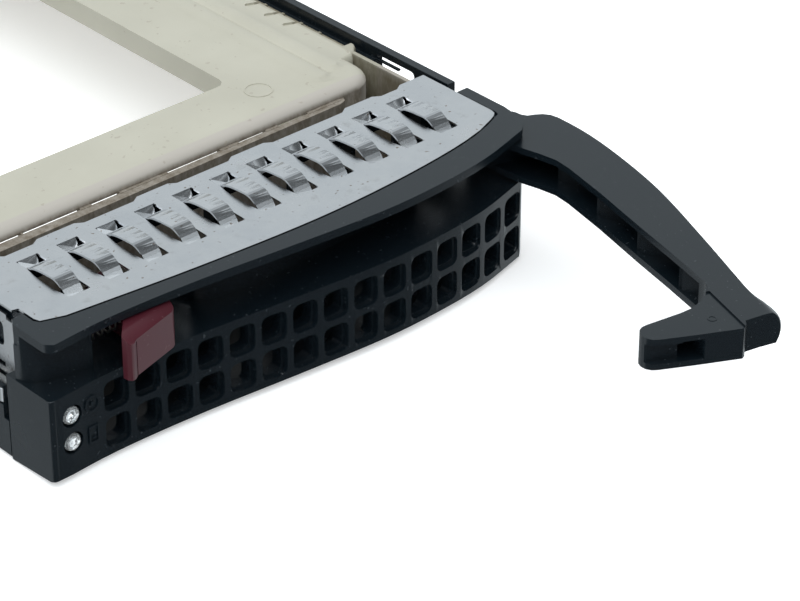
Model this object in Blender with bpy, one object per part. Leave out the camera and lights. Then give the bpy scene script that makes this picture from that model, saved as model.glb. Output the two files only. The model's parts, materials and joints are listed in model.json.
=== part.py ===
"""Hot-swap drive carrier for a 3.5-inch bay, holding a plastic filler in place of the drive.

Lengths are millimetres.  The outlines are laid out from the left side (x) and from the
front-left corner (y, growing towards the back); the mesh builders move them so that the
finished part is centred on its width, with its origin on the flat underside of the bezel.
"""
from math import cos, pi, radians, sin, sqrt

import bmesh
import bpy
from mathutils import Matrix, Vector

MM = 0.001

# Driving dimensions
WIDTH = 107.0            # across the two rails: four carriers fill a 437 mm chassis
HEIGHT = 26.4            # from the underside to the rim of the bezel
ORIGIN_DEPTH = 18.0      # the origin lies this far behind the front-left corner
BEZEL_DEPTH = 27.3
LEDGE = 16.28            # top of the grille block, the floor of the lever's slot
BROW_UNDERSIDE = 24.85
DECK = 25.85             # where the steel shield lies
SHIELD_TOP = 26.5
SHIELD_SHEET = 0.35
RAIL_END = 184.0
RAIL_THICKNESS = 2.3
GAP = 0.3                # between pieces that touch

# Front face, seen from above: an S that bulges right of centre
FRONT_POINTS = [(0.0, 0.2), (12.5, 1.05), (29.5, 0.4), (50.5, -1.7), (67.5, -3.1), (79.5, -2.9),
                (91.5, -1.6), (103.5, 1.6)]

# Lever and its pivot
PIVOT = (104.18, 12.43)
OPEN_ANGLE = radians(73.8)
LEVER_TOP = 24.2
LEVER_UNDERSIDE = 17.2
FOOT_UNDERSIDE = 18.2
FOOT_TOP = 23.9
LEVER_WALL = 1.6
FLANGE = 1.25
TIP_X = 26.6
PIN_RADIUS = 1.2
BOSS_RADIUS = 2.75

# Grille
HOLE_COLUMNS = 15
HOLE_PITCH = 6.22
FIRST_HOLE = 13.6
HOLE_ROWS = (5.0, 11.85)
HOLE_WIDTH = 5.0
HOLE_HEIGHT = 5.6
HOLE_CORNER = 1.25
HOLE_CORNER_STEPS = 3
GRILLE_WALL = 3.4

# Light pipes
PIPE_ROWS = (6.7, 11.8)
PIPE_X = 4.4
PIPE_RADIUS = 1.6
PIPE_HOLE = 2.0
PIPE_FRONT = 0.9         # the heads end a little behind the face
PIPE_BAR_Z = {"light_pipe_lower": 10.3, "light_pipe_upper": 13.4}

# Spring fingers of the shield
FINGERS = 11
FINGER_PITCH = 8.01
FINGER_SLOT_RIGHT = 16.18
FINGER_SLOT_WIDTH = 4.19
SLOT_FRONT = 10.0
SLOT_BACK = 24.27
SLOT_BOW = 0.5           # the left edge of each slot bows outwards
CROSSBAR = (21.2, 21.6)
FINGER_WIDTH = 4.0
FINGER_LENGTH = 10.9
FINGER_TAPER = 0.6       # narrower by this much at the free end

SKIRT_X = (2.75, 3.1)    # left fold of the shield
SKIRT_Y = (12.9, 28.1)
SKIRT_BOTTOM = 13.4

# Release button
BUTTON_BOTTOM = 16.65
BUTTON_TOP = 24.5
BUTTON_LEFT = 19.6       # left side of the slide behind the thumb face
BUTTON_RIGHT = 24.3
PANEL_START = (15.0, -3.1)
PANEL_SLOPE = 0.288      # rise of the thumb face towards the back, per millimetre to the right
BUTTON_ORIGIN = (19.0, 3.0, 20.0)

# Spring of the button
SPRING_X = (6.5, 19.1)
SPRING_Y = 8.0
SPRING_Z = 20.6
SPRING_TURNS = 8.5
SPRING_RADIUS = 1.75
SPRING_WIRE = 0.25

# Drive filler: the standard 3.5-inch drive outline
FILLER_LEFT = 2.95
FILLER_RIGHT = 104.05
FILLER_BACK = 176.0
FILLER_TOP = 25.6
FILLER_BOTTOM = 0.5
FILLER_SHELL = 2.0
PLATE_FRONT = 35.0       # front edge of the filler's top plate
WALL_TOP = 23.7          # top of the low wall before it
OPENING_X = (17.0, 77.2)
OPENING_Y = (50.3, 158.0)
LIP_BOTTOM = 21.2
LIP_WALL = 1.8
SLITS = ((8.0, 20.4), (20.8, 32.6), (35.0, 41.0), (51.3, 62.9), (67.1, 73.2), (76.0, 82.8))
RIDGES = ((89.2, 92.8, 39.4), (94.1, 97.0, 41.3))
RIDGE_HEIGHT = 0.55
STRIP_LEFT = 102.1       # lowered strip along the filler's right side
STRIP_Z = 24.4
STRIP_RIBS = (54.8, 60.0, 65.2, 70.3, 75.4, 80.5)
DRAINS = (60.8, 66.1, 71.7)

# Screws and the vents of the rails
SCREW_Y = (58.0, 159.0)
SCREW_Z = 6.35
RAIL_SCREW_Z = (3.0, 9.25)
RAIL_SCREW_Y = 24.8
LEFT_RAIL_SCREW_Y = 19.6
VENT_Y = (34.0, 70.0, 88.0, 106.0, 124.0)
VENT_LENGTH = 12.0
VENT_HEIGHT = 5.0


# ---------------------------------------------------------------- curves and outlines

def spline(points, x):
    """Smooth curve through points sorted by x (Catmull-Rom with one-sided ends)."""
    last = len(points) - 2
    span = 0
    while span < last and x > points[span + 1][0]:
        span += 1
    x0, y0 = points[span]
    x1, y1 = points[span + 1]
    before = points[max(span - 1, 0)]
    after = points[min(span + 2, last + 1)]
    slope0 = (y1 - before[1]) / (x1 - before[0])
    slope1 = (after[1] - y0) / (after[0] - x0)
    width = x1 - x0
    t = (x - x0) / width
    return ((2 * t**3 - 3 * t**2 + 1) * y0 + (t**3 - 2 * t**2 + t) * width * slope0
            + (3 * t**2 - 2 * t**3) * y1 + (t**3 - t**2) * width * slope1)


def front(x):
    """Depth of the bezel's front face at x."""
    return spline(FRONT_POINTS, x)


def steps(low, high, count):
    """Evenly spaced values from low to high, both included."""
    return [low + (high - low) * index / count for index in range(count + 1)]


def arc(centre, radius, start, end, count):
    """Points on a circle from the start angle to the end angle, in degrees."""
    return [(centre[0] + radius * cos(radians(angle)), centre[1] + radius * sin(radians(angle)))
            for angle in steps(start, end, count)]


def rounded_rectangle(low, high, radius, count=2):
    """Rectangle from corner low to corner high with round corners, anticlockwise."""
    (x0, y0), (x1, y1) = low, high
    return (arc((x1 - radius, y1 - radius), radius, 0, 90, count)
            + arc((x0 + radius, y1 - radius), radius, 90, 180, count)
            + arc((x0 + radius, y0 + radius), radius, 180, 270, count)
            + arc((x1 - radius, y0 + radius), radius, 270, 360, count))


# ---------------------------------------------------------------- mesh builders

def placed(x, y, z):
    """A point of the layout, in metres, in the part's own frame."""
    return Vector((x - WIDTH / 2, y - ORIGIN_DEPTH, z)) * MM


def finish_mesh(bm, name):
    """Turn a bmesh into an object with its faces pointing out."""
    bmesh.ops.recalc_face_normals(bm, faces=bm.faces)
    mesh = bpy.data.meshes.new(name)
    bm.to_mesh(mesh)
    bm.free()
    solid = bpy.data.objects.new(name, mesh)
    bpy.context.scene.collection.objects.link(solid)
    return solid


def loft(rings, name="loft"):
    """Closed solid through rings of equally many points, capped at both ends."""
    bm = bmesh.new()
    loops = [[bm.verts.new(placed(*point)) for point in ring] for ring in rings]
    count = len(loops[0])
    for first, second in zip(loops, loops[1:]):
        for index in range(count):
            after = (index + 1) % count
            bm.faces.new((first[index], first[after], second[after], second[index]))
    bm.faces.new(loops[0])
    bm.faces.new(loops[-1])
    return finish_mesh(bm, name)


def prism(outline, low, high, axis="z"):
    """Straight solid of an outline.  Along z the outline is (x, y), along x (y, z), along y (x, z)."""
    def ring(level):
        if axis == "z":
            return [(a, b, level) for a, b in outline]
        if axis == "x":
            return [(level, a, b) for a, b in outline]
        return [(a, level, b) for a, b in outline]
    return loft([ring(low), ring(high)])


def box(x, y, z):
    """Box from three (low, high) pairs."""
    return prism([(x[0], y[0]), (x[1], y[0]), (x[1], y[1]), (x[0], y[1])], z[0], z[1])


def cylinder(centre, radius, low, high, axis="z", sides=20):
    """Round bar whose centre is given in the two directions across its axis."""
    outline = arc(centre, radius, 0, 360 - 360 / sides, sides - 1)
    return prism(outline, low, high, axis)


def join(solids):
    """Gather separate solids in one object, to be used as a single tool."""
    bm = bmesh.new()
    for solid in solids:
        bm.from_mesh(solid.data)
        discard(solid)
    return finish_mesh(bm, "tool")


def discard(solid):
    mesh = solid.data
    bpy.data.objects.remove(solid)
    bpy.data.meshes.remove(mesh)


def combine(body, tool, operation):
    """Apply one Boolean to the body and drop the tool."""
    modifier = body.modifiers.new("combine", "BOOLEAN")
    modifier.operation = operation
    modifier.solver = "EXACT"
    modifier.object = tool
    bpy.context.view_layer.update()
    evaluated = body.evaluated_get(bpy.context.evaluated_depsgraph_get())
    mesh = bpy.data.meshes.new_from_object(evaluated)
    old = body.data
    body.modifiers.clear()
    body.data = mesh
    bpy.data.meshes.remove(old)
    discard(tool)
    return body


def cut(body, *tools):
    for tool in tools:
        combine(body, tool, "DIFFERENCE")
    return body


def fuse(body, *tools):
    for tool in tools:
        combine(body, tool, "UNION")
    return body


def material(name, color, roughness, metallic=0.0, transmission=0.0):
    """Plain Principled material, made once per name."""
    found = bpy.data.materials.get(name)
    if found:
        return found
    made = bpy.data.materials.new(name)
    made.use_nodes = True
    shader = made.node_tree.nodes["Principled BSDF"]
    shader.inputs["Base Color"].default_value = (*color, 1.0)
    shader.inputs["Roughness"].default_value = roughness
    shader.inputs["Metallic"].default_value = metallic
    shader.inputs["Transmission Weight"].default_value = transmission
    made.diffuse_color = (*color, 1.0)
    return made


def black_plastic():
    return material("black_plastic", (0.032, 0.036, 0.042), 0.42)


def maroon_plastic():
    return material("maroon_plastic", (0.16, 0.035, 0.05), 0.4)


def cream_plastic():
    return material("cream_plastic", (0.62, 0.60, 0.53), 0.55)


def stainless_steel():
    return material("stainless_steel", (0.62, 0.62, 0.63), 0.28, 1.0)


def clear_plastic():
    return material("clear_plastic", (0.9, 0.92, 0.92), 0.08, 0.0, 0.9)


def zinc_steel():
    return material("zinc_steel", (0.55, 0.55, 0.56), 0.35, 1.0)


def named(solid, name, look, pivot=None, turn=0.0):
    """Name a finished sub-part.  With a pivot, its origin goes there and it turns about z."""
    solid.name = name
    solid.data.name = name
    solid.data.materials.clear()
    solid.data.materials.append(look)
    solid.data.shade_smooth()
    solid.data.set_sharp_from_angle(angle=radians(32))
    if pivot:
        origin = placed(*pivot)
        solid.data.transform(Matrix.Translation(-origin))
        solid.location = origin
        solid.rotation_euler.z = turn
    return solid


# ---------------------------------------------------------------- bezel

def bezel_outline():
    """The whole bezel from above, narrowed behind the front to clear the rails."""
    face = [(x, front(x)) for x in steps(0.9, 103.5, 34)]
    right_corner = [(105.4, 3.3), (106.5, 6.3), (107.0, 9.6)]
    back = [(107.0, 22.0), (103.4, 22.0), (103.4, BEZEL_DEPTH), (3.6, BEZEL_DEPTH), (3.6, 11.65)]
    left_corner = [(0.0, 11.65), (0.0, 0.9), (0.3, 0.4)]
    return face + right_corner + back + left_corner


def slot_outline():
    """Room for the lever, its foot, the button and the claw, between the ledge and the brow."""
    around_column = [(-2.0, 9.2), (0.3, 9.2), (0.65, 7.9), (1.5, 6.8), (2.6, 6.0), (4.0, 5.4),
                     (7.4, 4.7), (11.5, 4.0)]
    button_and_foot = [(11.5, 17.6), (24.5, 17.6), (25.4, 23.6), (35.0, 23.6), (35.0, 12.4),
                       (36.2, 9.2), (38.6, 7.2)]
    behind_lever = [(45.0, 6.4), (52.0, 6.3), (60.0, 6.6), (67.0, 7.0), (74.0, 7.5), (80.0, 8.1),
                    (84.5, 9.0), (88.0, 10.6), (91.0, 12.4)]
    behind_pivot = [(92.5, 16.0), (94.0, 20.8), (109.0, 20.8), (109.0, -12.0), (-2.0, -12.0)]
    return around_column + button_and_foot + behind_lever + behind_pivot


def shield_front(x):
    """Front edge of the steel shield."""
    return spline([(4.2, 7.4), (5.5, 6.45), (14.5, 5.35), (33.5, 3.55), (55.0, 2.35), (70.0, 2.6),
                   (86.0, 4.0), (97.0, 6.0), (104.3, 8.8)], x)


def grille_bays():
    """Hollow behind the grille, split by upright ribs."""
    rib = 1.2
    walls = [FIRST_HOLE + HOLE_PITCH * (column + 0.5) for column in (3, 7, 11)]
    lefts = [10.6] + [wall + rib / 2 for wall in walls]
    rights = [wall - rib / 2 for wall in walls] + [98.4]
    bays = []
    for left, right in zip(lefts, rights):
        face = [(x, front(x) + GRILLE_WALL) for x in steps(left, right, 6)]
        bays.append(prism(face + [(right, 29.0), (left, 29.0)], 1.4, 14.9))
    corner = [(x, front(x) + GRILLE_WALL) for x in steps(98.0, 103.3, 3)]
    corner = corner + [(104.8, 6.6), (104.8, 9.0), (98.0, 9.0)]
    return bays, prism(corner, 1.4, 14.9)


def grille_holes():
    """Rounded square holes, each with a wider mouth than throat."""
    throats = []
    mouths = []
    for column in range(HOLE_COLUMNS):
        x = FIRST_HOLE + HOLE_PITCH * column
        face = front(x)
        for z in HOLE_ROWS:
            for inset, depth, group in ((0.0, 1.1, mouths), (0.4, 5.4, throats)):
                low = (x - HOLE_WIDTH / 2 + inset, z - HOLE_HEIGHT / 2 + inset)
                high = (x + HOLE_WIDTH / 2 - inset, z + HOLE_HEIGHT / 2 - inset)
                shape = rounded_rectangle(low, high, HOLE_CORNER - inset * 0.5, HOLE_CORNER_STEPS)
                group.append(prism(shape, face - 3.0, face + depth, "y"))
    return join(mouths), join(throats)


def make_bezel():
    body = prism(bezel_outline(), 0.0, HEIGHT)
    bays, corner_bay = grille_bays()
    mouths, throats = grille_holes()
    underside_slope = prism([(-8.0, -1.0), (11.0, -1.0), (11.0, 0.0), (-8.0, 1.55)], -1.0, 108.0, "x")
    cut(body, prism(slot_outline(), LEDGE, BROW_UNDERSIDE))
    cut(body, join(bays), corner_bay, underside_slope)
    cut(body, mouths, throats)
    # Light pipes: two round holes, then a chamber where the pipes step outwards
    cut(body, join([cylinder((PIPE_X, z), PIPE_HOLE, -2.0, 8.0, "y") for z in PIPE_ROWS]))
    cut(body, box((0.9, 7.0), (5.6, 12.4), (4.4, 14.2)))
    # Room under the spring fingers, open below and towards the drive, with a few thin ribs
    cut(body, box((11.0, 97.3), (10.0, 25.0), (17.6, 28.0)))
    cut(body, box((12.0, 96.0), (18.0, 29.0), (13.0, 21.4)))
    cut(body, box((36.0, 96.0), (11.0, 20.0), (13.0, 19.0)))
    ribs = [box((x, x + 1.0), (24.4, BEZEL_DEPTH), (13.5, 22.0)) for x in (22.4, 39.5, 53.0, 71.5, 84.0)]
    fuse(body, join(ribs))
    # Seat of the shield, and the ends of the brow
    seat_front = [(x, shield_front(x) - GAP) for x in steps(4.1, 104.3, 24)]
    seat = [(3.5, 8.2)] + seat_front + [(104.6, 9.4), (104.6, 30.0), (2.2, 30.0), (2.2, 12.4),
                                        (3.5, 12.4)]
    cut(body, prism(seat, DECK, HEIGHT + 1.0))
    cut(body, box((104.6, 108.0), (19.3, 23.0), (LEDGE - 2.0, 28.0)))
    round_end = arc((2.4, 2.15), 1.9, 270, 180, 5)
    ear = ([(-1.0, -2.0), (2.4, -2.0)] + round_end
           + [(0.5, 9.6), (1.6, 10.9), (3.2, 11.0), (3.2, 13.0), (-1.0, 13.0)])
    cut(body, prism(ear, BROW_UNDERSIDE - 2.0, 28.0))
    cut(body, box((-1.0, 0.3), (-2.0, 13.0), (LEDGE, 25.0)))
    cut(body, box((-1.0, 2.45), (9.5, 13.0), (LEDGE, 25.0)))
    # Pivot pin, driven in from below
    cut(body, cylinder(PIVOT, PIN_RADIUS + GAP, -1.0, 25.8))
    cut(body, cylinder(PIVOT, 2.5, -1.0, 2.2))
    # Pocket of the button's spring, in the column
    cut(body, cylinder((SPRING_Y, SPRING_Z), 2.4, 6.0, 12.5, "x", 16))
    # Threads of the four rail screws
    shanks = []
    for z in RAIL_SCREW_Z:
        shanks.append(cylinder((LEFT_RAIL_SCREW_Y, z), 1.3, 2.0, 9.4, "x", 12))
        shanks.append(cylinder((RAIL_SCREW_Y, z), 1.3, 99.2, 105.0, "x", 12))
    cut(body, join(shanks))
    return named(body, "front_bezel", black_plastic())


# ---------------------------------------------------------------- shield

def shield_outline():
    """Top sheet from above: curved front with a round right corner, and a stepped back edge."""
    face = [(x, shield_front(x)) for x in steps(4.2, 102.0, 24)]
    corner = [(103.2, 8.45), (104.0, 9.1), (104.3, 10.2)]
    # The back edge steps out and in again, five times
    back = [(104.3, 27.9), (98.6, 27.9), (97.2, 27.0)]
    for left, right in ((85.7, 92.0), (59.9, 67.0), (39.5, 46.0), (18.8, 26.4)):
        back += [(right + 1.4, 27.0), (right, 27.9), (left, 27.9), (left - 1.4, 27.0)]
    fold = [(11.6, 27.0), (10.4, 28.1), (2.75, 28.1), (2.75, 12.9), (3.85, 12.6), (3.85, 8.5)]
    return face + corner + back + fold


def finger_profile(count=22):
    """Side view of one spring finger: it rises gently towards the front, then dips into its slot."""
    path = [(10.5, -1.5), (11.0, -0.9), (11.5, -0.2), (12.2, 0.45), (13.3, 1.1), (14.45, 1.4),
            (16.1, 1.33), (17.8, 1.2), (19.8, 0.85), (20.9, 0.33), (21.4, 0.02)]
    base = SHIELD_TOP - SHIELD_SHEET
    ys = steps(path[0][0], path[-1][0], count)
    lower = [(y, base + spline(path, y)) for y in ys]
    upper = [(y, z + SHIELD_SHEET) for y, z in reversed(lower)]
    return lower + upper


def finger(left):
    """One spring finger, whose right edge runs in towards its free end."""
    side = finger_profile()
    root = side[0][0] + FINGER_LENGTH
    near = [(left, y, z) for y, z in side]
    far = [(left + FINGER_WIDTH - FINGER_TAPER * (root - y) / FINGER_LENGTH, y, z) for y, z in side]
    return loft([near, far])


def slot_shape(left, right):
    """Slot of one finger from above, bowed outwards on its left side."""
    bow = [(left - SLOT_BOW * share, y) for y, share in ((18.8, 0.7), (15.6, 1.0), (12.4, 0.7))]
    return [(left, SLOT_FRONT), (right, SLOT_FRONT), (right, CROSSBAR[0]), (left, CROSSBAR[0])] + bow


def make_shield():
    base = SHIELD_TOP - SHIELD_SHEET
    sheet = prism(shield_outline(), base, SHIELD_TOP)
    openings = []
    fingers = []
    for index in range(FINGERS):
        right = FINGER_SLOT_RIGHT + FINGER_PITCH * index
        left = right - FINGER_SLOT_WIDTH
        openings.append(prism(slot_shape(left, right), base - 1, SHIELD_TOP + 1))
        openings.append(box((left, right), (CROSSBAR[1], SLOT_BACK), (base - 1, SHIELD_TOP + 1)))
        # Tab bent down and forwards at the back of each opening
        tab = [(SLOT_BACK + 0.3, base + 0.1), (SLOT_BACK - 0.02, SHIELD_TOP - 0.05),
               (SLOT_BACK - 1.2, base - 1.3), (SLOT_BACK - 0.9, base - 1.5)]
        fingers.append(prism(tab, left + 0.3, right - 0.3, "x"))
        fingers.append(finger((left + right - FINGER_WIDTH) / 2))
    cut(sheet, join(openings))
    fuse(sheet, join(fingers))
    # Side skirt folded down at the left, parted from the top by a slit at the front
    skirt = box(SKIRT_X, SKIRT_Y, (SKIRT_BOTTOM, SHIELD_TOP - 0.1))
    fuse(sheet, skirt)
    cut(sheet, box((2.0, 3.6), (11.0, 20.5), (24.85, base - 0.02)))
    window = rounded_rectangle((15.6, 18.4), (21.6, 23.0), 0.9)
    cut(sheet, prism(window, 2.0, 4.0, "x"))
    cut(sheet, box((2.0, 4.0), (15.7, 22.0), (14.5, 15.4)))
    # Narrow opening in the front of the fold, so that the skirt hangs from its back half
    cut(sheet, box((2.0, 3.6), (13.0, 14.6), (24.0, 24.9)))
    return named(sheet, "emi_shield", stainless_steel())


# ---------------------------------------------------------------- lever

def lever_edge(x):
    """Outer edge of the closed lever: flush with the front face."""
    return front(x) + 0.25


def lever_outline():
    """The closed lever from above, from the tip along its outer edge and back."""
    outer = [(x, lever_edge(x)) for x in steps(TIP_X + 0.1, 98.3, 26)]
    shoulder = [(99.7, 1.1), (100.6, 2.2), (101.06, 3.56), (101.3, 4.95), (102.2, 5.8)]
    nub = [(103.2, 6.15), (103.8, 6.6), (104.1, 7.5), (104.6, 8.6)]
    boss = arc(PIVOT, BOSS_RADIUS, -62, -38, 2)
    claw = [(108.8, 10.5), (110.1, 10.3), (110.7, 11.2), (110.3, 12.4), (107.0, 13.4)]
    boss_back = arc(PIVOT, BOSS_RADIUS, 42, 110, 5)
    inner = [(99.5, 14.2), (95.5, 13.1), (91.2, 11.2), (88.1, 9.4), (84.9, 7.9), (81.5, 7.3),
             (71.8, 6.6), (59.0, 6.1), (49.9, 5.6), (43.8, 5.35), (39.6, 5.2)]
    foot = ([(38.0, 5.6), (36.4, 6.8), (34.9, 8.6), (33.7, 10.9), (33.2, 13.4), (32.5, 19.9)]
            + arc((30.15, 19.85), 2.35, 0, 170, 7))
    heel = [(26.35, 13.7), (24.9, 6.5), (25.3, 5.9), (TIP_X - 0.2, 5.4)]
    return outer + shoulder + nub + boss + claw + boss_back + inner + foot + heel


def nose(count=8):
    """Rounded finger lip on the outer side of the tip."""
    full = 2.8
    sections = [(TIP_X, 0.82), (27.0, 0.94), (27.7, 1.0), (29.2, 0.97), (30.6, 0.82), (32.0, 0.55),
                (33.6, 0.25), (35.4, 0.03)]
    rings = []
    for x, share in sections:
        edge = lever_edge(x)
        reach = full * share
        ring = [(x, edge + 1.2, FOOT_UNDERSIDE), (x, edge + 1.2, LEVER_TOP)]
        for angle in steps(90, -20, count):
            y = edge - reach * cos(radians(angle))
            z = 20.6 + (LEVER_TOP - 20.6) * max(sin(radians(angle)), -1.0)
            ring.append((x, y, z))
        ring.append((x, edge - reach * 0.72, FOOT_UNDERSIDE))
        rings.append(ring)
    return loft(rings)


def truss_ribs():
    """Zigzag ribs between the flanges of the lever."""
    first = 46.5
    pitch = 13.4
    run = 6.1
    ribs = []
    for index in range(4):
        foot_x = first + pitch * index
        for start, end in ((foot_x, foot_x - run), (foot_x + 0.7, foot_x + 0.7 + run)):
            inner = (start, 4.9 + 0.02 * (start - 45))
            outer = (end, lever_edge(end) + LEVER_WALL - 0.8)
            ribs.append(rib_between(inner, outer, 0.6))
    return ribs


def rib_between(first, second, thickness):
    """Upright plate between two points, reaching into both flanges."""
    (x0, y0), (x1, y1) = first, second
    length = sqrt((x1 - x0)**2 + (y1 - y0)**2)
    across = (-(y1 - y0) / length * thickness / 2, (x1 - x0) / length * thickness / 2)
    outline = [(x0 - across[0], y0 - across[1]), (x1 - across[0], y1 - across[1]),
               (x1 + across[0], y1 + across[1]), (x0 + across[0], y0 + across[1])]
    return prism(outline, LEVER_UNDERSIDE + 0.5, LEVER_TOP - 0.5)


def make_lever():
    body = prism(lever_outline(), LEVER_UNDERSIDE, LEVER_TOP)
    # The foot and the tip are thinner than the arm
    cut(body, box((20.0, 35.6), (-8.0, 26.0), (10.0, FOOT_UNDERSIDE)))
    cut(body, prism([(20.0, 6.2), (25.6, 6.2), (36.6, 6.0), (37.0, 26.0), (20.0, 26.0)],
                    FOOT_TOP, 30.0))
    fuse(body, nose())
    # Channel, open towards the back, braced by ribs
    channel = [(x, lever_edge(x) + LEVER_WALL) for x in steps(41.0, 97.0, 14)]
    channel = channel + [(97.0, 17.0), (41.0, 17.0)]
    cut(body, prism(channel, LEVER_UNDERSIDE + FLANGE, LEVER_TOP - FLANGE))
    for rib in truss_ribs():
        fuse(body, rib)
    # Latch window in the foot and the recess that leads to it
    cut(body, box((23.0, 31.4), (12.8, 16.4), (19.3, 22.9)))
    ramp = [(22.0, 16.2), (28.6, 16.2), (28.95, 18.5), (29.6, 24.0), (22.0, 24.0)]
    cut(body, prism(ramp, 19.3, 22.7))
    cut(body, cylinder(PIVOT, PIN_RADIUS + GAP, 10.0, 30.0))
    return named(body, "lever_handle", black_plastic(), (*PIVOT, 0.0), OPEN_ANGLE)


def make_pivot_pin():
    pin = cylinder(PIVOT, PIN_RADIUS, 0.7, 25.5)
    fuse(pin, cylinder(PIVOT, 2.1, 0.7, 1.8))
    return named(pin, "lever_pin", zinc_steel())


# ---------------------------------------------------------------- release button

def make_button():
    """Thumb face with a ridge at its left, a body under the brow and a hook for the lever's foot."""
    thumb = [(17.4, 3.0), (14.7, 0.0), (12.8, -2.2), (12.9, -3.2), (13.4, -3.85),
             (14.1, -3.75), (15.0, -3.1), (24.2, -0.45), (25.0, 0.1), (25.2, 1.4), (25.2, 3.0)]
    body = prism(thumb, BUTTON_BOTTOM, BUTTON_TOP)
    # The top edge is rounded along the thumb face
    roll = [(-6.0, 22.9), (0.0, 23.4), (0.6, 23.95), (1.5, 24.35), (2.6, 24.6), (2.6, 30.0),
            (-6.0, 30.0)]
    rings = []
    for x in (10.0, 28.0):
        face = PANEL_START[1] + (x - PANEL_START[0]) * PANEL_SLOPE
        rings.append([(x, face + back, z) for back, z in roll])
    cut(body, loft(rings))
    # Fine groove between the ridge and the panel
    groove = [(14.9, -3.6), (15.08, -3.6), (15.08, -2.9), (14.9, -2.95)]
    cut(body, prism(groove, BUTTON_BOTTOM - 1.0, 23.0))
    slide = prism([(BUTTON_LEFT, 2.4), (BUTTON_RIGHT, 2.4), (BUTTON_RIGHT, 16.2),
                   (BUTTON_LEFT, 16.2)], 17.1, 24.0)
    fuse(body, slide)
    hook = prism([(23.0, 13.3), (28.3, 13.3), (28.3, 14.4), (26.8, 15.9), (23.0, 15.9)], 19.8, 22.3)
    fuse(body, hook)
    peg = cylinder((SPRING_Y, SPRING_Z), 1.1, BUTTON_LEFT - 2.4, BUTTON_LEFT + 1.0, "x", 12)
    fuse(body, peg)
    return named(body, "release_button", maroon_plastic(), BUTTON_ORIGIN)


def make_button_spring():
    """Compression spring between the column and the button."""
    start, end = SPRING_X
    count = int(SPRING_TURNS * 10)
    curve = bpy.data.curves.new("button_spring", "CURVE")
    curve.dimensions = "3D"
    curve.bevel_depth = SPRING_WIRE * MM
    curve.bevel_resolution = 1
    curve.use_fill_caps = True
    path = curve.splines.new("POLY")
    path.points.add(count)
    for index in range(count + 1):
        angle = 2 * pi * SPRING_TURNS * index / count
        point = placed(start + (end - start) * index / count,
                       SPRING_Y + SPRING_RADIUS * cos(angle), SPRING_Z + SPRING_RADIUS * sin(angle))
        path.points[index].co = (*point, 1.0)
    spring = bpy.data.objects.new("button_spring", curve)
    bpy.context.scene.collection.objects.link(spring)
    curve.materials.append(zinc_steel())
    return spring


# ---------------------------------------------------------------- light pipes

def make_light_pipe(name, z):
    """Round lens at the front, then a flat bar that runs back inside the left rail."""
    lens = cylinder((PIPE_X, z), PIPE_RADIUS, PIPE_FRONT, 7.2, "y", 16)
    fuse(lens, prism([(1.25, 9.2), (1.25, 7.6), (2.9, 6.0), (6.2, 6.0), (6.2, 7.4), (2.6, 9.2)],
                     z - 1.3, z + 1.3))
    # The bar climbs over the screws of the filler
    high = PIPE_BAR_Z[name]
    side = [(8.0, z - 1.3), (24.0, z - 1.3), (30.0, high - 0.95), (176.0, high - 0.95),
            (176.0, high + 0.95), (28.5, high + 0.95), (22.5, z + 1.3), (8.0, z + 1.3)]
    fuse(lens, prism(side, 1.25, 2.35, "x"))
    return named(lens, name, clear_plastic())


# ---------------------------------------------------------------- rails

def rail_side():
    """Side view of a rail: a low tongue beside the bezel, full height behind it."""
    return [(22.4, 0.3), (RAIL_END - 4.0, 0.3), (RAIL_END, 3.0), (RAIL_END, 22.0),
            (RAIL_END - 3.0, HEIGHT), (22.4, HEIGHT)]


def rail_screw_holes(outer, inner, with_tongue):
    """Clearance holes with sunk heads, along x."""
    head = outer + (1.2 if inner > outer else -1.2)
    front_y = LEFT_RAIL_SCREW_Y if with_tongue else RAIL_SCREW_Y
    places = [(front_y, z) for z in RAIL_SCREW_Z] + [(y, SCREW_Z) for y in SCREW_Y]
    out = outer - 1.0 if inner > outer else outer + 1.0
    through = inner + 1.0 if inner > outer else inner - 1.0
    shanks = [cylinder(place, 1.5, min(out, through), max(out, through), "x", 12) for place in places]
    heads = [cylinder(place, 2.6, min(out, head), max(out, head), "x", 16) for place in places]
    return join(shanks), join(heads)


def vents(bottom, low, high):
    """Row of long round-ended openings through a rail."""
    return join([prism(rounded_rectangle((y, bottom), (y + VENT_LENGTH, bottom + VENT_HEIGHT), 2.0),
                       low, high, "x") for y in VENT_Y])


def make_left_rail():
    outer = 0.05
    inner = outer + RAIL_THICKNESS + 0.05
    body = prism(rail_side(), outer, inner, "x")
    tongue = [(11.95, 0.3), (24.0, 0.3), (24.0, 13.1), (13.2, 13.1), (13.2, 7.1), (11.95, 7.1)]
    fuse(body, prism(tongue, outer, inner, "x"))
    # Lanes of the light pipes, open towards the drive
    lower, upper = PIPE_ROWS
    low_bar, high_bar = PIPE_BAR_Z["light_pipe_lower"], PIPE_BAR_Z["light_pipe_upper"]
    for z, bar in ((lower, low_bar), (upper, high_bar)):
        lane = [(6.0, z - 1.6), (24.2, z - 1.6), (30.2, bar - 1.25), (190.0, bar - 1.25),
                (190.0, bar + 1.25), (28.3, bar + 1.25), (22.3, z + 1.6), (6.0, z + 1.6)]
        cut(body, prism(lane, 0.95, 4.0, "x"))
    # Seat of the side contact
    cut(body, box((-1.0, 0.6), (13.2, 16.9), (9.6, 12.8)))
    cut(body, vents(16.0, -1.0, 4.0))
    cut(body, *rail_screw_holes(outer, inner, True))
    return named(body, "left_rail", black_plastic())


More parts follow.
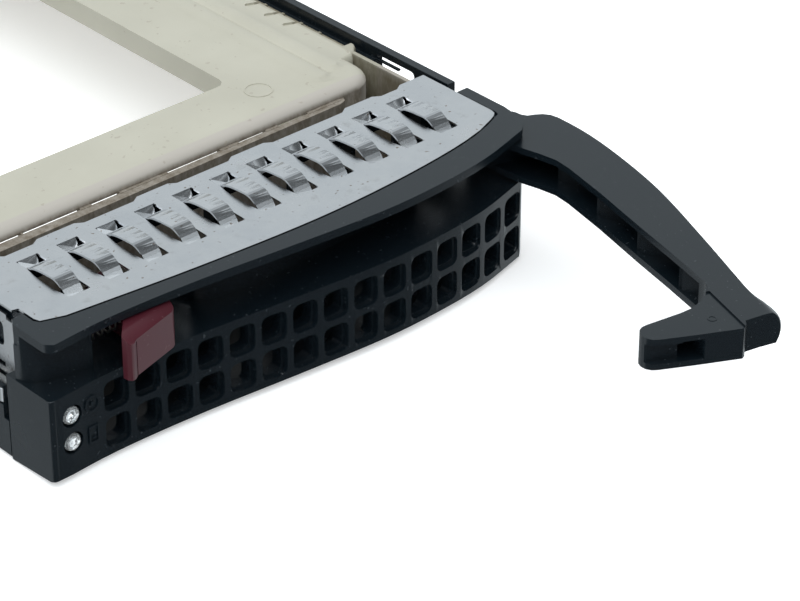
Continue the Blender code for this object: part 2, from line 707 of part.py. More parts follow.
def make_right_rail():
    outer = WIDTH - 0.05
    inner = outer - RAIL_THICKNESS
    body = prism(rail_side(), inner, outer, "x")
    # The top of the rail is thinner
    cut(body, box((inner - 1.0, inner + 0.6), (20.0, RAIL_END + 2.0), (24.0, HEIGHT + 1.0)))
    # Long slot behind the bezel, with a small bar that reaches into it from the back
    slot = prism(rounded_rectangle((31.4, 21.5), (41.8, 25.1), 0.8), 100.0, 110.0, "x")
    cut(body, slot)
    fuse(body, box((inner + 0.6, inner + 1.2), (35.6, 42.2), (23.8, 24.2)))
    cut(body, vents(9.0, 100.0, 110.0))
    cut(body, *rail_screw_holes(outer, inner, False))
    return named(body, "right_rail", black_plastic())


def make_side_contact():
    """Bowed spring strip that touches the bay's wall beside the left rail."""
    path = [(13.6, 0.28), (14.3, 0.0), (15.2, -0.55), (16.0, -0.7)]
    outline = [(x, y) for y, x in path]
    back = [(x + 0.25, y) for y, x in reversed(path)]
    strip = prism(outline + back, 9.9, 12.5)
    fuse(strip, box((0.28, 0.53), (13.4, 14.0), (9.9, 12.5)))
    return named(strip, "side_contact", stainless_steel())


# ---------------------------------------------------------------- drive filler

def filler_outline(inset):
    """Filler from above, with its front edge and its round front-right corner set back by inset."""
    corner = arc((94.2, PLATE_FRONT + 6.0), 6.0 - inset, -90, 0, 6)
    right = 0.3 * inset
    return ([(FILLER_LEFT, PLATE_FRONT + inset)] + corner
            + [(100.2 - inset, 43.5 + right), (102.3, 44.0 + right), (FILLER_RIGHT, 45.8 + right),
               (FILLER_RIGHT, FILLER_BACK), (FILLER_LEFT, FILLER_BACK)])


def make_filler():
    # The front edge of the top plate is round
    profile = [(FILLER_BOTTOM, 0.0), (24.0, 0.0), (24.6, 0.25), (25.1, 0.8), (25.42, 1.6),
               (FILLER_TOP, 2.8)]
    body = loft([[(x, y, z) for x, y in filler_outline(inset)] for z, inset in profile])
    # Hollow underneath, open at the front below the plate
    shell = FILLER_SHELL
    inside = [(FILLER_LEFT + shell, 30.0), (90.5, 30.0), (90.5, PLATE_FRONT + shell),
              (94.2, PLATE_FRONT + shell), (97.0, PLATE_FRONT + 3.2), (98.2, PLATE_FRONT + 6.0),
              (98.2, 47.0), (101.9, 50.0), (101.9, FILLER_BACK - shell),
              (FILLER_LEFT + shell, FILLER_BACK - shell)]
    cut(body, prism(inside, -1.0, FILLER_TOP - shell))
    # Low wall before the plate, joined to it between the slits
    wall = [(FILLER_LEFT, 32.4), (50.0, 33.0), (89.6, 33.5), (91.0, 34.0), (91.6, 35.2), (91.6, 38.0),
            (89.6, 38.0), (89.6, 34.65), (FILLER_LEFT + 1.8, 34.65), (FILLER_LEFT + 1.8, 38.0),
            (FILLER_LEFT, 38.0)]
    fuse(body, prism(wall, FILLER_BOTTOM, WALL_TOP))
    joints = [FILLER_LEFT] + [edge for slit in SLITS for edge in slit] + [90.5]
    bridges = [box((left, right), (34.4, PLATE_FRONT + 0.6), (22.2, WALL_TOP + 0.1))
               for left, right in zip(joints[0::2], joints[1::2])]
    fuse(body, join(bridges))
    # Flank that runs forward beside the right rail
    fuse(body, box((101.8, 102.6), (28.8, 47.0), (FILLER_BOTTOM, 25.4)))
    # Through opening with a turned-down lip
    collar = rounded_rectangle((OPENING_X[0] - LIP_WALL, OPENING_Y[0] - LIP_WALL),
                               (OPENING_X[1] + LIP_WALL, OPENING_Y[1] + LIP_WALL), 3.0, 3)
    fuse(body, prism(collar, LIP_BOTTOM, FILLER_TOP - 0.5))
    hole = rounded_rectangle((OPENING_X[0], OPENING_Y[0]), (OPENING_X[1], OPENING_Y[1]), 2.0, 3)
    cut(body, prism(hole, -2.0, FILLER_TOP + 2.0))
    # Two long ridges right of the opening
    for left, right, front_y in RIDGES:
        rings = []
        for z, inset in ((FILLER_TOP - 0.4, -0.6), (FILLER_TOP, -0.4), (FILLER_TOP + RIDGE_HEIGHT, 0.5)):
            low = (left + inset, front_y + inset)
            high = (right - inset, FILLER_BACK - 8.0)
            rings.append([(x, y, z) for x, y in rounded_rectangle(low, high, 1.4 - inset, 4)])
        fuse(body, loft(rings))
    # Lower strip along the right side, crossed by small ribs, and three drain grooves into it
    cut(body, box((STRIP_LEFT, FILLER_RIGHT + 1.0), (47.2, FILLER_BACK - 2.0), (STRIP_Z, 27.0)))
    ribs = [box((STRIP_LEFT - 0.1, FILLER_RIGHT - 0.5), (y, y + 0.7), (STRIP_Z - 0.1, STRIP_Z + 0.6))
            for y in STRIP_RIBS]
    fuse(body, join(ribs))
    drains = []
    for y in DRAINS:
        mouth = [(STRIP_LEFT + 0.2, y - 1.0), (STRIP_LEFT + 0.2, y - 0.3)]
        drains.append(prism(arc((100.0, y), 0.65, 80, 260, 4) + mouth, FILLER_TOP - 0.45, 27.0))
    cut(body, join(drains))
    # Screw threads in both sides
    threads = []
    bosses = []
    for y in SCREW_Y:
        threads.append(cylinder((y, SCREW_Z), 1.6, 0.0, 7.0, "x", 12))
        threads.append(cylinder((y, SCREW_Z), 1.6, 100.0, 108.0, "x", 12))
        bosses.append(box((FILLER_LEFT + 0.5, 9.0), (y - 4.0, y + 4.0), (2.0, 11.0)))
        bosses.append(box((97.9, FILLER_RIGHT - 0.5), (y - 4.0, y + 4.0), (2.0, 11.0)))
    fuse(body, join(bosses))
    cut(body, join(threads))
    return named(body, "drive_filler", cream_plastic())


# ---------------------------------------------------------------- screws

def make_screw(name, place, outer, inwards, length, head_radius=2.2):
    """Flat-headed screw along x with a cross recess; inwards is +1 at the left, -1 at the right."""
    def span(start, end):
        ends = (outer + inwards * start, outer + inwards * end)
        return min(ends), max(ends)
    screw = cylinder(place, head_radius, *span(0.1, 0.95), "x", 16)
    fuse(screw, cylinder(place, 1.05, *span(0.5, length), "x", 12))
    y, z = place
    cut(screw, box(span(-0.5, 0.5), (y - 1.2, y + 1.2), (z - 0.25, z + 0.25)))
    cut(screw, box(span(-0.5, 0.5), (y - 0.25, y + 0.25), (z - 1.2, z + 1.2)))
    return named(screw, name, zinc_steel())


def make_screws():
    left = 0.05
    right = WIDTH - 0.05
    for side, outer, inwards, y, length in (("left", left, 1, LEFT_RAIL_SCREW_Y, 8.6),
                                            ("right", right, -1, RAIL_SCREW_Y, 7.0)):
        for level, z in zip(("lower", "upper"), RAIL_SCREW_Z):
            make_screw(f"rail_screw_{side}_{level}", (y, z), outer, inwards, length)
    for side, outer, inwards in (("left", left, 1), ("right", right, -1)):
        for end, y in zip(("front", "rear"), SCREW_Y):
            make_screw(f"filler_screw_{side}_{end}", (y, SCREW_Z), outer, inwards, 6.0)


def clear_scene():
    for item in list(bpy.data.objects):
        bpy.data.objects.remove(item)


def main():
    clear_scene()
    make_bezel()
    make_shield()
    make_left_rail()
    make_right_rail()
    make_side_contact()
    make_filler()
    make_lever()
    make_pivot_pin()
    make_button()
    make_button_spring()
    for name, z in zip(("light_pipe_lower", "light_pipe_upper"), PIPE_ROWS):
        make_light_pipe(name, z)
    make_screws()


main()
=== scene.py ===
"""Looks for the hot-swap drive carrier: surface finishes, small details, light and camera.

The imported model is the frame.  Every visible piece is a copy of its CAD node, or a small detail
laid on one, with a procedural material.  Lengths in the part's own layout are
millimetres from the left side and from the front-left corner, as the CAD lays them out.
"""
import json
import random
from math import cos, pi, radians, sin

import bmesh
import bpy
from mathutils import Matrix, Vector


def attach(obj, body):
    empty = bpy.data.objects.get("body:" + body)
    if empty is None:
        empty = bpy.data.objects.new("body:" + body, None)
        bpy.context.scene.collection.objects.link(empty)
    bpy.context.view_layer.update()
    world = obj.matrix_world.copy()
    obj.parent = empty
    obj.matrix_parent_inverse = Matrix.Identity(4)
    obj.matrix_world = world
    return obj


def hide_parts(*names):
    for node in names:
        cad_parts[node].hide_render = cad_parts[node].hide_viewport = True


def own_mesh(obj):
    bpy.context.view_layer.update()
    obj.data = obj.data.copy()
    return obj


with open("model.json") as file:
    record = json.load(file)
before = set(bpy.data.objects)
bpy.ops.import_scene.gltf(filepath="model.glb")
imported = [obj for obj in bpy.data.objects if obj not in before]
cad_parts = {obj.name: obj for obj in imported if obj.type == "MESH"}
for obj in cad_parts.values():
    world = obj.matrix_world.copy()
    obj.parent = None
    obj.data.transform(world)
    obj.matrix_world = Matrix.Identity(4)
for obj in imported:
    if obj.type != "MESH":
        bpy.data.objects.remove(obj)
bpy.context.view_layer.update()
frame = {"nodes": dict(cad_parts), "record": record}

MM = 0.001
HALF_WIDTH = 53.5
ORIGIN_DEPTH = 18.0
LEVER_PIVOT = (104.18, 12.43)
LEVER_OPEN = radians(73.8)

# The spring-finger shield: its top, and the windows behind the fingers with a bent tab in each
SHEET_TOP = 26.5
TAB_COUNT = 11
TAB_START = 14.1
TAB_PITCH = 8.01
TAB_ROOT = 26.1

# The bezel's top, and the heads of the two light pipes in its front
BEZEL_TOP = 26.4
PIPE_X = 4.4
PIPE_HEADS = (("lower", 6.7), ("upper", 11.8))

# The button's spring lies along x
SPRING_START = 6.55
SPRING_END = 19.05
SPRING_Y = 8.0
SPRING_Z = 20.6
SPRING_TURNS = 8.5
SPRING_RADIUS = 1.75
SPRING_WIRE = 0.24

# Raised marks start below the face they stand on
MARK_ROOT = -0.3
MARK_HEIGHT = 0.16

# Brightness of the overhead panel that the glossy plastic mirrors
PANEL = 1.15

# Camera, in millimetres of the row frame
CAMERA_PLACE = (-290.17, -362.11, 293.35)
CAMERA_AIM = (11.19, -27.84, 13.0)
CAMERA_LENS = 143.43


# ---------------------------------------------------------------- helpers

def placed(x, y, z):
    """A point of the layout, in metres, in the row frame."""
    return Vector((x - HALF_WIDTH, y - ORIGIN_DEPTH, z)) * MM


def opened(x, y, z):
    """A point on the closed lever, moved to where the open lever has it."""
    px, py = LEVER_PIVOT
    dx, dy = x - px, y - py
    turned = (px + dx * cos(LEVER_OPEN) - dy * sin(LEVER_OPEN),
              py + dx * sin(LEVER_OPEN) + dy * cos(LEVER_OPEN))
    return placed(*turned, z)


def finish(bm, name, material, body, smooth_angle=35):
    """Make a bmesh a visible piece that rides on a body."""
    mesh = bpy.data.meshes.new(name)
    bm.to_mesh(mesh)
    bm.free()
    piece = bpy.data.objects.new(name, mesh)
    bpy.context.scene.collection.objects.link(piece)
    mesh.materials.append(material)
    mesh.shade_smooth()
    mesh.set_sharp_from_angle(angle=radians(smooth_angle))
    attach(piece, body)
    return piece


def body_of(node):
    """The body that a CAD node belongs to."""
    for body, members in frame["record"]["behaviour"]["bodies"].items():
        if node in members:
            return body
    return None


def layout(point):
    """Layout millimetres of a point of the row frame."""
    return point.x / MM + HALF_WIDTH, point.y / MM + ORIGIN_DEPTH, point.z / MM


def round_edges(bm, wanted, radius, segments):
    """Round off, more than the rest, the edges whose both ends are wanted layout points."""
    edges = [edge for edge in bm.edges if all(wanted(*layout(vert.co)) for vert in edge.verts)]
    bmesh.ops.bevel(bm, geom=edges, offset=radius * MM, offset_type="OFFSET", segments=segments,
                    profile=0.5, affect="EDGES", clamp_overlap=True)


def rounded_copy(node, material, width, segments=2, limit=40, soft=()):
    """A copy of a CAD node, which stands for the node.

    The soft edges are rounded off fully.  The width asked of the others is clamped where edges
    crowd, for the whole piece at once, so on the larger pieces they stay almost sharp.
    """
    source = frame["nodes"][node]
    bm = bmesh.new()
    bm.from_mesh(source.data)
    bmesh.ops.remove_doubles(bm, verts=bm.verts, dist=0.002 * MM)
    bmesh.ops.dissolve_limit(bm, angle_limit=radians(0.6), verts=bm.verts, edges=bm.edges)
    for wanted, radius, steps in soft:
        round_edges(bm, wanted, radius, steps)
    # A merged face may run round an opening, so it is split again before the bevel
    bmesh.ops.triangulate(bm, faces=[face for face in bm.faces if len(face.verts) > 4])
    piece = finish(bm, node + "_looks", material, body_of(node))
    if width:
        bevel = piece.modifiers.new("edges", "BEVEL")
        bevel.width = width * MM
        bevel.segments = segments
        bevel.limit_method = "ANGLE"
        bevel.angle_limit = radians(limit)
        bevel.use_clamp_overlap = True
        bevel.miter_outer = "MITER_ARC"
        normals = piece.modifiers.new("normals", "WEIGHTED_NORMAL")
        normals.keep_sharp = True
    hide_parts(node)
    return piece


def tilt_tabs(bm):
    """Bend each small tab in the shield's rear windows a little differently."""
    seeded = random.Random(4)
    tilts = [seeded.uniform(-0.25, 0.75) for _ in range(TAB_COUNT)]
    for vert in bm.verts:
        x, y, z = layout(vert.co)
        index = round((x - TAB_START) / TAB_PITCH)
        in_window = 0 <= index < TAB_COUNT and abs(x - TAB_START - index * TAB_PITCH) < 2.1
        if in_window and 22.4 < y < 24.35 and z < TAB_ROOT:
            vert.co.y -= tilts[index] * (TAB_ROOT - z) * MM


def sheet_copy(node, material):
    """A copy of a sheet-metal node: flat stretches stay flat and bends are smooth."""
    bm = bmesh.new()
    bm.from_mesh(frame["nodes"][node].data)
    bmesh.ops.remove_doubles(bm, verts=bm.verts, dist=0.002 * MM)
    tilt_tabs(bm)
    piece = finish(bm, node + "_looks", material, body_of(node))
    top = SHEET_TOP * MM
    for polygon in piece.data.polygons:
        level = abs(polygon.normal.z) > 0.9999 and abs(polygon.center.z - top) < 0.36 * MM
        if level or abs(polygon.normal.z) < 0.001:
            polygon.use_smooth = False
    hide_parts(node)
    return piece


# ---------------------------------------------------------------- materials

class Nodes:
    """Short-hand for building a node tree in metres of object space."""

    def __init__(self, name):
        self.material = bpy.data.materials.new(name)
        self.material.use_nodes = True
        self.tree = self.material.node_tree
        self.shader = self.tree.nodes["Principled BSDF"]
        self.place = self.tree.nodes.new("ShaderNodeTexCoord").outputs["Object"]

    def add(self, kind, **inputs):
        node = self.tree.nodes.new(kind)
        for name, value in inputs.items():
            self.put(node.inputs[name.replace("_", " ")], value)
        return node

    def put(self, socket, value):
        if isinstance(value, bpy.types.NodeSocket):
            self.tree.links.new(value, socket)
        else:
            socket.default_value = value

    def noise(self, scale, detail=4.0, roughness=0.55, stretch=None):
        place = self.place
        if stretch:
            mapping = self.add("ShaderNodeMapping", Vector=self.place)
            mapping.inputs["Scale"].default_value = stretch
            place = mapping.outputs[0]
        node = self.add("ShaderNodeTexNoise", Vector=place, Scale=scale, Detail=detail,
                        Roughness=roughness)
        return node.outputs["Fac"]

    def ramp(self, value, low, high, start, end):
        node = self.add("ShaderNodeMapRange", Value=value)
        for name, number in zip(("From Min", "From Max", "To Min", "To Max"), (low, high, start, end)):
            node.inputs[name].default_value = number
        return node.outputs[0]

    def mix(self, factor, first, second):
        node = self.tree.nodes.new("ShaderNodeMix")
        node.data_type = "RGBA"
        self.put(node.inputs[0], factor)
        self.put(node.inputs[6], first)
        self.put(node.inputs[7], second)
        return node.outputs[2]

    def math(self, operation, first, second=0.0):
        node = self.tree.nodes.new("ShaderNodeMath")
        node.operation = operation
        self.put(node.inputs[0], first)
        self.put(node.inputs[1], second)
        return node.outputs[0]

    def bump(self, height, strength, distance):
        node = self.add("ShaderNodeBump", Height=height, Strength=strength, Distance=distance)
        self.put(self.shader.inputs["Normal"], node.outputs[0])

    def set(self, **inputs):
        for name, value in inputs.items():
            self.put(self.shader.inputs[name.replace("_", " ")], value)
        return self.material


def rgb(red, green, blue):
    return (red, green, blue, 1.0)


def moulded_plastic(name, color, dust_color, roughness, dust=0.5, grain=0.02):
    """Satin moulded plastic: fine grain, faint clouding and scattered specks of dust."""
    n = Nodes(name)
    clouds = n.noise(45.0, 3.0)
    grain_noise = n.noise(3200.0, 2.0)
    specks = n.ramp(n.noise(1500.0, 1.0, 0.3), 0.735, 0.76, 0.0, dust)
    tone = n.mix(n.ramp(clouds, 0.3, 0.7, 0.0, 0.35), rgb(*color), rgb(*[c * 1.35 for c in color]))
    tone = n.mix(specks, tone, rgb(*dust_color))
    n.bump(grain_noise, grain * 4, 0.03 * MM)
    return n.set(Base_Color=tone, Roughness=n.ramp(clouds, 0.2, 0.8, roughness - 0.05, roughness + 0.06))


def black_plastic():
    return moulded_plastic("black_satin_plastic", (0.0055, 0.0095, 0.0130), (0.10, 0.11, 0.12), 0.24, 0.22)


def maroon_plastic():
    return moulded_plastic("maroon_plastic", (0.066, 0.011, 0.018), (0.3, 0.2, 0.2), 0.34, 0.15)


def rolled_steel():
    """Bright rolled sheet with smudges, fine scratches and a faint brushed grain."""
    n = Nodes("rolled_stainless_steel")
    smudge = n.noise(120.0, 5.0, 0.6)
    grain = n.noise(900.0, 3.0, 0.6, (1.0, 9.0, 1.0))
    stains = n.ramp(n.noise(260.0, 6.0, 0.7), 0.58, 0.72, 0.0, 0.4)
    tone = n.mix(n.ramp(smudge, 0.3, 0.75, 0.0, 1.0), rgb(0.66, 0.67, 0.69), rgb(0.78, 0.78, 0.79))
    tone = n.mix(stains, tone, rgb(0.52, 0.5, 0.48))
    specks = n.ramp(n.noise(1100.0, 2.0, 0.4), 0.70, 0.75, 0.0, 0.7)
    tone = n.mix(specks, tone, rgb(0.30, 0.22, 0.16))
    rough = n.ramp(smudge, 0.25, 0.75, 0.19, 0.29)
    n.bump(grain, 0.12, 0.02 * MM)
    return n.set(Base_Color=tone, Metallic=1.0, Roughness=rough)


def plated_steel():
    """Zinc-plated steel, slightly clouded."""
    n = Nodes("plated_steel")
    tone = n.mix(n.noise(400.0), rgb(0.5, 0.48, 0.44), rgb(0.62, 0.6, 0.56))
    return n.set(Base_Color=tone, Metallic=1.0, Roughness=0.3)


def cream_plastic():
    """Aged cream plastic, clean on top, brown with dust in the front groove, brown with dust and painted
    shade along the right wall, and a painted sheen on the rounded shoulder.
    """
    n = Nodes("cream_plastic")
    clouds = n.noise(60.0, 4.0)
    tone = n.mix(n.ramp(clouds, 0.3, 0.7, 0.0, 1.0), rgb(0.485, 0.465, 0.385), rgb(0.535, 0.515, 0.43))
    axes = n.add("ShaderNodeSeparateXYZ", Vector=n.place)
    depth, height = axes.outputs["Y"], axes.outputs["Z"]
    # The rounded shoulder is painted a little greyer than the top: a painted sheen for the light it
    # catches
    shoulder_sheen = n.ramp(depth, 19.7 * MM, 19.3 * MM, 0.0, 0.8)
    tone = n.mix(shoulder_sheen, tone, rgb(0.49, 0.45, 0.41))
    # Dirt is thick at and below the groove, and fades up the shoulder
    near_front = n.ramp(depth, 18.1 * MM, 17.2 * MM, 0.0, 1.0)
    low = n.ramp(height, 24.8 * MM, 23.9 * MM, 0.0, 1.0)
    grime = n.math("MULTIPLY", near_front, low)
    streaks = n.noise(700.0, 6.0, 0.75, (1.0, 1.0, 0.35))
    grime = n.math("MULTIPLY", grime, n.ramp(streaks, 0.3, 0.62, 0.45, 1.0))
    tone = n.mix(grime, tone, rgb(0.17, 0.14, 0.105))
    # Brown dirt along the lowered strip and on the flank beside the right rail, with painted shade there
    # that deepens lower down
    edge = n.ramp(axes.outputs["X"], 47.9 * MM, 48.2 * MM, 0.0, 1.0)
    # Painted shade: the brown grows stronger lower down the flank
    edge = n.math("MULTIPLY", edge, n.ramp(height, 25.6 * MM, 24.9 * MM, 0.25, 0.85))
    edge = n.math("MULTIPLY", edge, n.ramp(streaks, 0.25, 0.6, 0.6, 1.0))
    tone = n.mix(edge, tone, rgb(0.14, 0.115, 0.07))
    specks = n.ramp(n.noise(800.0, 2.0, 0.4), 0.70, 0.74, 0.0, 0.5)
    tone = n.mix(specks, tone, rgb(0.35, 0.3, 0.24))
    n.bump(n.noise(900.0, 3.0), 0.1, 0.05 * MM)
    return n.set(Base_Color=tone, Roughness=n.ramp(clouds, 0.2, 0.8, 0.42, 0.55))


def frosted_core():
    """Bright facets seen inside the head of a light pipe."""
    n = Nodes("light_pipe_core")
    tone = n.mix(n.ramp(n.noise(900.0), 0.35, 0.65, 0.0, 1.0), rgb(0.55, 0.58, 0.6), rgb(0.97, 0.98, 1.0))
    return n.set(Base_Color=tone, Metallic=1.0, Roughness=0.1)


def clear_plastic():
    """Clear plastic of the light pipes."""
    n = Nodes("clear_plastic")
    tone = n.mix(n.noise(300.0), rgb(0.93, 0.95, 0.95), rgb(0.85, 0.87, 0.87))
    return n.set(Base_Color=tone, Roughness=0.06, Transmission_Weight=0.85, IOR=1.49)


# ---------------------------------------------------------------- scene

def add_floor():
    """A plain pale floor just below the object."""
    bm = bmesh.new()
    bmesh.ops.create_grid(bm, x_segments=2, y_segments=2, size=3.0)
    mesh = bpy.data.meshes.new("floor")
    bm.to_mesh(mesh)
    bm.free()
    floor = bpy.data.objects.new("floor", mesh)
    floor.location.z = -0.0003
    floor.visible_glossy = False
    bpy.context.scene.collection.objects.link(floor)
    n = Nodes("floor_paper")
    tone = n.mix(n.noise(2.0), rgb(0.95, 0.95, 0.95), rgb(0.97, 0.97, 0.97))
    mesh.materials.append(n.set(Base_Color=tone, Roughness=0.9, Emission_Color=tone))
    n.shader.inputs["Specular IOR Level"].default_value = 0.0
    n.shader.inputs["Emission Strength"].default_value = 0.45


def add_light(name, location, target, size, power, glossy=False):
    """A rectangular lamp aimed at a point; the surfaces mirror it only if it is glossy."""
    light = bpy.data.lights.new(name, "AREA")
    light.shape = "RECTANGLE"
    light.size, light.size_y = size
    light.energy = power
    lamp = bpy.data.objects.new(name, light)
    lamp.location = location
    lamp.rotation_euler = (Vector(target) - Vector(location)).to_track_quat("-Z", "Y").to_euler()
    lamp.visible_glossy = glossy
    bpy.context.scene.collection.objects.link(lamp)


def add_room():
    """A bright wall low behind the object and a dim studio elsewhere."""
    world = bpy.data.worlds.new("room")
    bpy.context.scene.world = world
    world.use_nodes = True
    tree = world.node_tree
    place = tree.nodes.new("ShaderNodeTexCoord")
    axes = tree.nodes.new("ShaderNodeSeparateXYZ")
    tree.links.new(place.outputs["Generated"], axes.inputs[0])

    def ramp(source, low, high, start, end):
        node = tree.nodes.new("ShaderNodeMapRange")
        node.interpolation_type = "SMOOTHSTEP"
        tree.links.new(source, node.inputs["Value"])
        for name, number in zip(("From Min", "From Max", "To Min", "To Max"), (low, high, start, end)):
            node.inputs[name].default_value = number
        return node.outputs[0]

    def join(operation, first, second):
        node = tree.nodes.new("ShaderNodeMath")
        node.operation = operation
        tree.links.new(first, node.inputs[0])
        tree.links.new(second, node.inputs[1])
        return node.outputs[0]

    def scaled(source, factor):
        node = tree.nodes.new("ShaderNodeMath")
        node.operation = "MULTIPLY"
        tree.links.new(source, node.inputs[0])
        node.inputs[1].default_value = factor
        return node.outputs[0]

    across, depth, height = axes.outputs["X"], axes.outputs["Y"], axes.outputs["Z"]
    # Bright wall behind the object, up to a dark gap overhead
    wall = ramp(height, 0.60, 0.85, 0.62, 0.02)
    wall = join("MULTIPLY", wall, ramp(height, -0.12, 0.0, 0.55, 1.0))
    wall = join("MULTIPLY", wall, ramp(depth, -0.1, 0.35, 0.0, 1.0))
    # Bright panel overhead on the camera's side
    away = join("ADD", scaled(across, 0.669), scaled(depth, 0.743))
    panel = join("MULTIPLY", ramp(away, -0.03, -0.10, 0.0, PANEL), ramp(height, 0.42, 0.52, 0.0, 1.0))
    # Pale table reflections from the far left and from the right
    below = ramp(height, 0.08, -0.05, 0.0, 1.0)
    left = join("MULTIPLY", ramp(across, -0.5, -0.8, 0.0, 0.45), below)
    left = join("MULTIPLY", left, ramp(depth, 0.0, 0.4, 0.0, 1.0))
    right = join("MULTIPLY", ramp(across, 0.55, 0.85, 0.0, 0.65), below)
    base = ramp(height, 0.0, 0.1, 0.085, 0.10)
    total = base
    for patch in (wall, panel, left, right):
        total = join("ADD", total, patch)
    background = tree.nodes["Background"]
    background.inputs["Color"].default_value = (0.88, 0.96, 1.0, 1.0)
    tree.links.new(total, background.inputs["Strength"])


def add_lights():
    middle = (0.0, 0.03, 0.01)
    add_light("overhead", (0.05, 0.15, 1.1), middle, (1.5, 1.5), 9.5)
    add_light("edge_lamp", (-0.75, -0.95, 1.15), middle, (0.45, 0.45), 2.6, True)
    add_room()
    bpy.context.scene.view_settings.view_transform = "Standard"


def add_camera():
    data = bpy.data.cameras.new("camera")
    data.lens = CAMERA_LENS
    data.sensor_width = 36.0
    data.clip_start = 0.01
    data.clip_end = 20.0
    camera = bpy.data.objects.new("camera", data)
    location = Vector(CAMERA_PLACE) * MM
    aim = Vector(CAMERA_AIM) * MM
    camera.location = location
    camera.rotation_euler = (aim - location).to_track_quat("-Z", "Y").to_euler()
    bpy.context.scene.collection.objects.link(camera)
    bpy.context.scene.camera = camera


# ---------------------------------------------------------------- pieces

def front(x):
    """Depth of the bezel's front face at x, between its stations."""
    stations = [(0.0, 0.2), (12.5, 1.05), (29.5, 0.4), (50.5, -1.7), (67.5, -3.1), (79.5, -2.9),
                (91.5, -1.6), (103.5, 1.6)]
    for (x0, y0), (x1, y1) in zip(stations, stations[1:]):
        if x <= x1:
            share = (x - x0) / (x1 - x0)
            return y0 + (y1 - y0) * share
    return stations[-1][1]


def on_brow_edge(x, y, z):
    """The upper front edge of the bezel's brow, and the corner at its right."""
    if abs(z - BEZEL_TOP) > 0.01 or x < 0.8:
        return False
    return y < front(x) + 0.6 if x < 103.6 else y < 10.0


def on_left_corner(x, y, z):
    """The upright corner at the left of the grille."""
    return x < 1.0 and y < 1.1 and z < 17.0


def revolved(rings, count, centre, bm):
    """Add a surface of revolution about y; rings are (radius, depth) from the front to the back."""
    cx, cz = centre
    loops = []
    for radius, depth in rings:
        loop = []
        for index in range(count):
            angle = 2 * pi * index / count
            loop.append(bm.verts.new(placed(cx + radius * cos(angle), depth, cz + radius * sin(angle))))
        loops.append(loop)
    for first, second in zip(loops, loops[1:]):
        for index in range(count):
            after = (index + 1) % count
            bm.faces.new((first[index], first[after], second[after], second[index]))
    bm.faces.new(loops[0])
    bm.faces.new(loops[-1])


def add_pipe_heads(clear):
    """Domed heads of the two light pipes, each over a cloudy faceted core."""
    core_look = frosted_core()
    for name, z in PIPE_HEADS:
        dome = bmesh.new()
        revolved([(0.35, 0.25), (0.8, 0.32), (1.15, 0.44), (1.42, 0.62), (1.56, 0.85), (1.56, 1.0)],
                 20, (PIPE_X, z), dome)
        bmesh.ops.recalc_face_normals(dome, faces=dome.faces)
        finish(dome, f"pipe_dome_{name}", clear, "carrier")
        core = bmesh.new()
        revolved([(0.25, 0.62), (0.8, 0.85), (1.2, 0.74), (1.42, 1.2)], 7, (PIPE_X, z), core)
        tilt = random.Random(int(z * 10))
        for vert in core.verts:
            vert.co.y += tilt.uniform(-0.12, 0.12) * MM
        bmesh.ops.recalc_face_normals(core, faces=core.faces)
        finish(core, f"pipe_core_{name}", core_look, "carrier", 10)


def add_plate(bm, outline, low, high, place):
    """Add a thin flat plate: outline in two directions, low to high in the third."""
    bottom = [bm.verts.new(place(a, b, low)) for a, b in outline]
    top = [bm.verts.new(place(a, b, high)) for a, b in outline]
    bm.faces.new(bottom)
    bm.faces.new(top)
    for index in range(len(outline)):
        after = (index + 1) % len(outline)
        bm.faces.new((bottom[index], bottom[after], top[after], top[index]))


def add_ring(bm, centre, outer, inner, low, high, place, count=24):
    """Add a flat ring."""
    loops = []
    for radius, level in ((outer, low), (outer, high), (inner, high), (inner, low)):
        loop = []
        for index in range(count):
            angle = 2 * pi * index / count
            point = place(centre[0] + radius * cos(angle), centre[1] + radius * sin(angle), level)
            loop.append(bm.verts.new(point))
        loops.append(loop)
    for first, second in zip(loops, loops[1:] + loops[:1]):
        for index in range(count):
            after = (index + 1) % count
            bm.faces.new((first[index], first[after], second[after], second[index]))


def add_symbols(black):
    """Generic raised marks beside the light pipes: a ring with a dot, and an upright frame with a bar."""
    def on_front(x, z, height):
        return placed(x, front(x) - height, z)

    bm = bmesh.new()
    add_ring(bm, (8.5, 12.3), 1.5, 1.2, MARK_ROOT, MARK_HEIGHT, on_front)
    dot = [(8.5 + 0.45 * cos(a), 12.3 + 0.45 * sin(a)) for a in (0, 1.05, 2.09, 3.14, 4.19, 5.24)]
    add_plate(bm, dot, MARK_ROOT, MARK_HEIGHT, on_front)
    for x0, z0, x1, z1 in ((7.5, 4.9, 9.6, 5.2), (7.5, 7.8, 9.6, 8.1), (7.5, 5.2, 7.8, 7.8),
                           (9.3, 5.2, 9.6, 7.8), (8.2, 5.7, 8.9, 5.95)):
        corners = [(x0, z0), (x1, z0), (x1, z1), (x0, z1)]
        add_plate(bm, corners, MARK_ROOT, MARK_HEIGHT, on_front)
    bmesh.ops.recalc_face_normals(bm, faces=bm.faces)
    finish(bm, "front_marks", black, "carrier")


def add_moulding_marks(cream, black):
    """Ejector-pin circle on the filler's top and a sprue mark on the lever's foot."""
    ring = bmesh.new()
    add_ring(ring, (79.8, 44.5), 2.65, 2.35, 25.5, 25.7, placed, 32)
    bmesh.ops.recalc_face_normals(ring, faces=ring.faces)
    finish(ring, "filler_ejector_mark", cream, "carrier")
    sprue = bmesh.new()
    add_ring(sprue, (29.6, 9.6), 0.8, 0.55, 23.85, 23.97, opened, 20)
    bmesh.ops.recalc_face_normals(sprue, faces=sprue.faces)
    finish(sprue, "lever_sprue_mark", black, "lever")


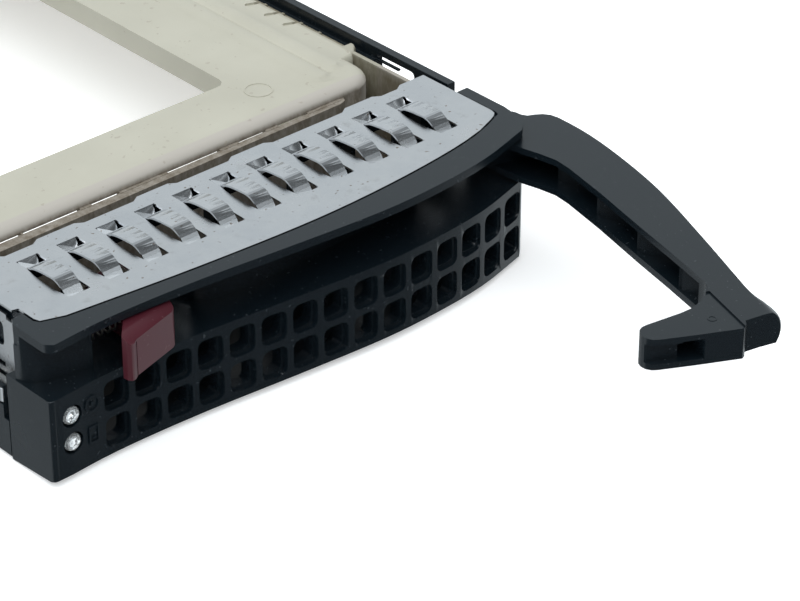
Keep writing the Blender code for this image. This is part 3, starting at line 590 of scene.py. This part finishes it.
def add_spring(plated):
    """The button's coil spring."""
    sides, count = 8, 136
    bm = bmesh.new()
    loops = []
    for index in range(count + 1):
        share = index / count
        angle = 2 * pi * SPRING_TURNS * share
        # The end coils lie closer together
        eased = share - 0.07 * sin(2 * pi * share)
        x = SPRING_START + SPRING_WIRE + (SPRING_END - SPRING_START - 2 * SPRING_WIRE) * eased
        centre = (x, SPRING_Y + SPRING_RADIUS * cos(angle), SPRING_Z + SPRING_RADIUS * sin(angle))
        loop = []
        for side in range(sides):
            turn = 2 * pi * side / sides
            out = SPRING_WIRE * cos(turn)
            point = placed(centre[0] + SPRING_WIRE * sin(turn), centre[1] + out * cos(angle),
                           centre[2] + out * sin(angle))
            loop.append(bm.verts.new(point))
        loops.append(loop)
    for first, second in zip(loops, loops[1:]):
        for side in range(sides):
            after = (side + 1) % sides
            bm.faces.new((first[side], first[after], second[after], second[side]))
    bm.faces.new(loops[0])
    bm.faces.new(loops[-1])
    bmesh.ops.recalc_face_normals(bm, faces=bm.faces)
    spring = finish(bm, "button_spring_coil", plated, "carrier", 60)
    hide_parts("button_spring")
    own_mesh(spring)


def dress_nodes():
    """Give every CAD node its looks, and add the small details."""
    black, steel, plated = black_plastic(), rolled_steel(), plated_steel()
    cream, clear = cream_plastic(), clear_plastic()
    rounded_copy("front_bezel", black, 0.16,
                 soft=((on_brow_edge, 0.45, 3), (on_left_corner, 0.35, 3)))
    rounded_copy("left_rail", black, 0.15)
    rounded_copy("right_rail", black, 0.15)
    rounded_copy("lever_handle", black, 0.25, 3)
    rounded_copy("release_button", maroon_plastic(), 0.3, 3)
    rounded_copy("drive_filler", cream, 0.3, 3)
    sheet_copy("emi_shield", steel)
    rounded_copy("side_contact", steel, 0.05, 1)
    for node in ("light_pipe_lower", "light_pipe_upper"):
        rounded_copy(node, clear, 0.12)
    for node in frame["nodes"]:
        if "screw" in node or node == "lever_pin":
            rounded_copy(node, plated, 0.08, 1)
    add_spring(plated)
    add_pipe_heads(clear)
    add_symbols(black)
    add_moulding_marks(cream, black)


add_camera()
add_floor()
add_lights()
dress_nodes()
